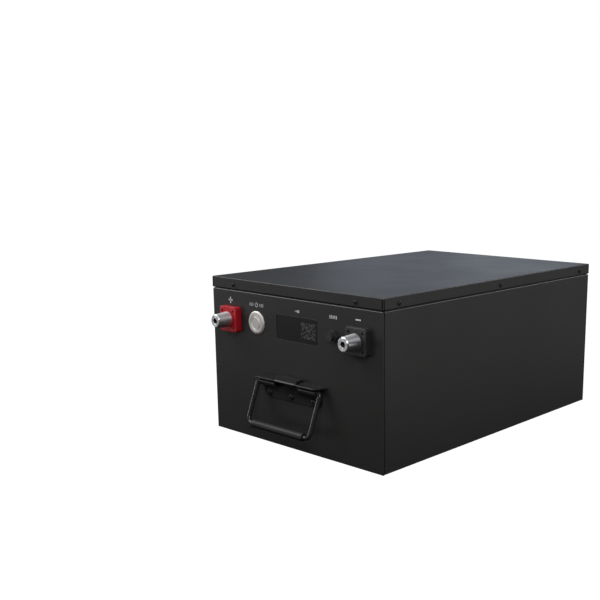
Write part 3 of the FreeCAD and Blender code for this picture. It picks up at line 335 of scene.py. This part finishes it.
def slot_materials():
    """One finish for each material slot of the record."""
    return {
        "case_paint": case_paint(),
        "gasket_rubber": surface(
            "black_rubber", grey(0.012), grey(0.02), (0.6, 0.75), 900, 0.00003),
        "black_screws": surface(
            "black_oxide", grey(0.012), grey(0.02), (0.34, 0.46), 1800, 0.00002, specular=0.3),
        "plated_steel": surface(
            "zinc_plate", (0.5, 0.5, 0.47), (0.62, 0.61, 0.58), (0.28, 0.42), 1500, 0.00002,
            metallic=1.0),
        "red_moulding": surface(
            "red_moulding", (0.43, 0.009, 0.018), (0.50, 0.013, 0.024), (0.36, 0.46), 1600, 0.00003,
            specular=0.4),
        "black_moulding": surface(
            "black_moulding", grey(0.030), grey(0.038), (0.38, 0.48), 1600, 0.00003, specular=0.35),
        "nickel_stud": turned_nickel(),
        "button_metal": spun_steel(middle_of("button_cap")),
        "display_glass": surface(
            "smoked_window", grey(0.007), grey(0.009), (0.22, 0.3), 300, 0.000004, specular=0.2),
        "circuit_board": circuit(),
        "handle_steel": surface(
            "gloss_black_steel", grey(0.026), grey(0.033), (0.12, 0.17), 900, 0.00001,
            specular=0.42),
        "grip_plastic": surface(
            "grip_moulding", grey(0.020), grey(0.027), (0.44, 0.54), 1300, 0.00004, specular=0.25),
        "cell_can": surface(
            "blue_film", (0.01, 0.055, 0.22), (0.014, 0.07, 0.27), (0.2, 0.3), 240, 0.00005),
        "copper": surface(
            "copper", (0.65, 0.30, 0.17), (0.78, 0.40, 0.25), (0.25, 0.4), 900, 0.00002,
            metallic=1.0),
        "insulation_board": board_weave(),
        "plain_steel": surface(
            "plain_steel", grey(0.42), grey(0.52), (0.3, 0.42), 1200, 0.00002, metallic=1.0,
            stretch=(0.1, 1, 1)),
        "aluminium_plate": surface(
            "milled_aluminium", grey(0.6), grey(0.7), (0.3, 0.4), 1500, 0.00002, metallic=1.0,
            stretch=(1, 1, 0.1)),
        "fuse_body": surface(
            "fuse_ceramic", (0.62, 0.6, 0.52), (0.7, 0.68, 0.6), (0.2, 0.3), 400, 0.00002),
        "red_cable": surface(
            "red_sleeve", (0.36, 0.008, 0.008), (0.44, 0.012, 0.01), (0.4, 0.5), 700, 0.00004),
        "black_cable": surface("black_sleeve", grey(0.014), grey(0.02), (0.4, 0.5), 700, 0.00004),
    }


def dress_frame(finishes):
    """Give every CAD node the finish of its slot."""
    for part in frame["record"]["subparts"]:
        node = NODES[part["node"]]
        node.data.materials.clear()
        node.data.materials.append(finishes[part["material_slot"]])


# Pieces


def piece(name, mesh, material, body):
    """Link a finished bmesh as a piece that rides on a body."""
    data = bpy.data.meshes.new(name)
    bmesh.ops.recalc_face_normals(mesh, faces=mesh.faces)
    mesh.to_mesh(data)
    mesh.free()
    made = bpy.data.objects.new(name, data)
    bpy.context.scene.collection.objects.link(made)
    data.materials.append(material)
    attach(made, body)


def slab(mesh, outline, front, back):
    """A flat prism facing the front: an outline of (x, z) between two depths."""
    near = [mesh.verts.new((across, front, up)) for across, up in outline]
    far = [mesh.verts.new((across, back, up)) for across, up in outline]
    mesh.faces.new(near)
    mesh.faces.new(list(reversed(far)))
    for index in range(len(outline)):
        after = (index + 1) % len(outline)
        mesh.faces.new((near[index], far[index], far[after], near[after]))


def bar(across, up, width, height):
    """The outline of an upright rectangle about a centre."""
    left, right = across - width / 2, across + width / 2
    bottom, top = up - height / 2, up + height / 2
    return [(left, bottom), (right, bottom), (right, top), (left, top)]


def arc_band(across, up, inner, outer, start, end, steps=24):
    """The outline of a stretch of ring; angles in degrees from +X towards +Z."""
    turns = [math.radians(start + (end - start) * step / steps) for step in range(steps + 1)]
    outside = [(across + outer * math.cos(turn), up + outer * math.sin(turn)) for turn in turns]
    inside = [(across + inner * math.cos(turn), up + inner * math.sin(turn)) for turn in turns]
    return outside + list(reversed(inside))


def marks(name, outlines, material):
    """Thin printed marks on the front panel."""
    mesh = bmesh.new()
    for outline in outlines:
        slab(mesh, outline, PANEL_Y - INK, PANEL_Y + INK)
    piece(name, mesh, material, "root")


def printed_marks():
    """Generic signs over the fittings: plus, minus, power, gauge and vent."""
    ink = surface("white_ink", grey(0.62), grey(0.7), (0.4, 0.55), 1200, 0.00001)
    level = middle_of("positive_flange").z
    above = level + SIGN_RISE
    across = middle_of("positive_flange").x - SIGN_SHIFT
    lying = bar(across, above, SIGN_SIZE, SIGN_STROKE)
    marks("mark_plus", [lying, bar(across, above, SIGN_STROKE, SIGN_SIZE)], ink)
    across = middle_of("negative_flange").x - SIGN_SHIFT
    marks("mark_minus", [bar(across, above, SIGN_SIZE, SIGN_STROKE)], ink)
    above = level + LABEL_RISE
    marks("mark_power", power_symbol(middle_of("button_cap").x, above), ink)
    across = middle_of("display_window").x
    gauge = [
        bar(across + step * 2.2 * MM, above, 1.3 * MM, (2 + step) * MM) for step in range(-1, 3)]
    marks("mark_gauge", gauge, ink)
    across = middle_of("vent_cap").x
    vents = [bar(across + step * 2.8 * MM, above, 1.4 * MM, 4.2 * MM) for step in range(-2, 3)]
    marks("mark_vent", vents, ink)


def power_symbol(across, above):
    """An open ring with a stroke through its gap, between two groups of three strokes."""
    symbol = [
        arc_band(across, above, 2.2 * MM, 3.0 * MM, 125, 415),
        bar(across, above + 2.2 * MM, 0.8 * MM, 3 * MM)]
    for side in (-1, 1):
        for step in (7, 10, 13):
            symbol.append(bar(across + side * step * MM, above, 1.0 * MM, 4.4 * MM))
    return symbol


def display_details():
    """A fine frame round the window and a patch of scattered squares at its right."""
    low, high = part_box("display_window")
    centre = (low + high) / 2
    window_rim(low, high, centre)
    dots = surface("dim_dots", grey(0.036), grey(0.05), (0.3, 0.4), 900, 0.00001)
    chance = random.Random(11)
    mesh = bmesh.new()
    for column in range(DOT_COLUMNS):
        for row in range(DOT_ROWS):
            if chance.random() < DOT_CHANCE:
                across = high.x - DOT_MARGIN - column * DOT_PITCH
                up = centre.z + (row - DOT_ROWS // 2) * DOT_PITCH
                slab(mesh, bar(across, up, DOT_PITCH, DOT_PITCH), low.y - INK, low.y + INK)
    piece("display_dots", mesh, dots, "root")


def window_rim(low, high, centre):
    """A fine frame round the display window, all but flush with the panel."""
    edge = surface("window_edge", grey(0.045), grey(0.06), (0.35, 0.45), 900, 0.00001)
    mesh = bmesh.new()
    width = high.x - low.x
    height = high.z - low.z
    front = PANEL_Y - INK * 2
    back = PANEL_Y + WINDOW_RIM_DEPTH
    for side in (-1, 1):
        across = centre.x + side * (width + WINDOW_RIM) / 2
        slab(mesh, bar(across, centre.z, WINDOW_RIM, height + 2 * WINDOW_RIM), front, back)
        up = centre.z + side * (height + WINDOW_RIM) / 2
        slab(mesh, bar(centre.x, up, width, WINDOW_RIM), front, back)
    piece("display_rim", mesh, edge, "root")


def corner_shade_strips():
    """Near-black strips of painted shade down each corner slit, in the skirt of the lid and in the
    case below.
    """
    # painted shade: near-black strips laid in the corner slits, where there is only shade
    corner_shade = surface(
        "painted_corner_shade", grey(0.003), grey(0.005), (0.6, 0.7), 900, 0.00002, specular=0.1)
    mesh = bmesh.new()
    for node, top in (("lid", LID_SHADE_STRIP_TOP), ("case_shell", CASE_SHADE_STRIP_TOP)):
        low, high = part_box(node)
        for side in (-1, 1):
            across = side * ((high.x - low.x) / 2 - SHADE_STRIP_INSET - SHADE_STRIP_WIDTH / 2)
            outline = bar(across, (low.z + top) / 2, SHADE_STRIP_WIDTH, top - low.z - SHADE_STRIP_FREE)
            for face in (low.y, high.y):
                outwards = math.copysign(1, face)
                slab(mesh, outline, face + outwards * INK, face - outwards * SHADE_STRIP_DEPTH)
    piece("corner_shade_strips", mesh, corner_shade, "root")


# Studio

FLOOR_REACH = 12                # case widths, each way
FLOOR_LEVEL = -0.0005

# name, place, target and size in metres, watts
SOFT_LIGHTS = (
    # the base light, and a key from the right that models the studs
    ("overhead", (0, 0, 1.45), (0, 0, 0), (3.6, 3.6), 13),
    ("key", (1.1, -1.35, 1.15), (0, 0, 0.1), (0.9, 0.9), 13),
    # low panels that the front and the side mirror
    ("front_left_panel", (-1.35, -1.85, 0.05), (0, 0, 0.05), (1.9, 0.8), 3.0),
    ("back_right_panel", (1.6, 1.9, 0.0), (0, 0, 0.0), (2.0, 1.0), 3.0),
    ("right_panel", (2.1, 1.3, -0.1), (0, 0, -0.1), (0.9, 1.0), 3.5),
    # lines along the arms of the handle, and its shade on the panel
    ("arm_strip", (-2.2, -0.55, 0.22), (0, -0.24, 0.08), (0.6, 0.5), 4.2),
    ("handle_lamp", (-0.35, -0.95, 1.35), (0, -0.24, 0.1), (0.8, 0.8), 3.5),
    # bright lines along the lid's edge and the shoulder under it
    ("high_left", (-1.3, -0.85, 1.3), (0, 0, 0.1), (1.0, 1.0), 16),
    ("high_back", (0.75, 1.5, 1.3), (0, 0, 0.1), (1.0, 1.0), 10),
)

# a row on an arc behind the pack at the left: degrees from +Y, and watts
ROW_LIGHTS = ((30, 3.0), (42, 2.1), (54, 0.6))
ROW_DISTANCE = 3.2
ROW_HEIGHT = 0.8
ROW_SIZE = (0.67, 1.6)
ROW_TINT = (0.76, 0.85, 1.0)

SENSOR_WIDTH = 36
FOCAL_LENGTH = 54.88
LENS_SHIFT = (-0.1459, 0.0739)
CAMERA_PLACE = Vector((2.7018, -3.2066, 1.1848))    # in case widths
CAMERA_DIP = 11.54              # degrees below the horizontal
CAMERA_TURN = 41.57             # degrees from straight on, to the right


def studio():
    """A white surround and floor that neither light the pack nor show in its gloss."""
    world = bpy.data.worlds.new("surround")
    bpy.context.scene.world = world
    world.use_nodes = True
    world.node_tree.nodes["Background"].inputs["Color"].default_value = (1, 1, 1, 1)
    world.node_tree.nodes["Background"].inputs["Strength"].default_value = 1.0
    world.cycles_visibility.diffuse = False
    world.cycles_visibility.glossy = False
    mesh = bmesh.new()
    reach = FLOOR_REACH * CASE_WIDTH
    corners = [(-reach, -reach), (reach, -reach), (reach, reach), (-reach, reach)]
    mesh.faces.new([mesh.verts.new((across, along, FLOOR_LEVEL)) for across, along in corners])
    data = bpy.data.meshes.new("floor")
    mesh.to_mesh(data)
    mesh.free()
    floor = bpy.data.objects.new("floor", data)
    bpy.context.scene.collection.objects.link(floor)
    data.materials.append(white_floor())
    floor.visible_diffuse = False
    floor.visible_glossy = False
    floor.visible_shadow = False


def white_floor():
    """A floor that glows as white as the surround."""
    material, tree, shader = new_material("white_floor")
    mottled = noise(tree, places(tree), 3)
    tree.links.new(between(tree, mottled, grey(0.10), grey(0.11)), shader.inputs["Base Color"])
    shader.inputs["Roughness"].default_value = 0.9
    shader.inputs["Specular IOR Level"].default_value = 0.0
    shader.inputs["Emission Color"].default_value = (1, 1, 1, 1)
    shader.inputs["Emission Strength"].default_value = 1.0
    return material


def softbox(name, place, target, size, power, tint=(1, 1, 1)):
    """A rectangular soft light at a place, facing a target."""
    light = bpy.data.lights.new(name, "AREA")
    light.shape = "RECTANGLE"
    light.size, light.size_y = size
    light.energy = power
    light.color = tint
    made = bpy.data.objects.new(name, light)
    made.location = place
    heading = Vector(target) - Vector(place)
    made.rotation_euler = heading.to_track_quat("-Z", "Y").to_euler()
    made.visible_camera = False
    bpy.context.scene.collection.objects.link(made)


def lights():
    """The soft lights of the table, and a bluish row behind that fades across the lid."""
    for name, place, target, size, power in SOFT_LIGHTS:
        softbox(name, place, target, size, power)
    for azimuth, power in ROW_LIGHTS:
        turn = math.radians(azimuth)
        place = (-ROW_DISTANCE * math.sin(turn), ROW_DISTANCE * math.cos(turn), ROW_HEIGHT)
        softbox(f"back_{azimuth}", place, (0, 0, ROW_HEIGHT), ROW_SIZE, power, ROW_TINT)


def camera():
    """The viewing angle, with the lens shifted for an off-centre frame."""
    data = bpy.data.cameras.new("camera")
    data.sensor_width = SENSOR_WIDTH
    data.lens = FOCAL_LENGTH
    data.shift_x, data.shift_y = LENS_SHIFT
    made = bpy.data.objects.new("camera", data)
    made.location = CAMERA_PLACE * CASE_WIDTH
    made.rotation_euler = Euler((math.radians(90 - CAMERA_DIP), 0, math.radians(CAMERA_TURN)))
    bpy.context.scene.collection.objects.link(made)
    bpy.context.scene.camera = made


bpy.context.scene.view_settings.view_transform = "Standard"
camera()
dress_frame(slot_materials())
printed_marks()
display_details()
corner_shade_strips()
studio()
lights()
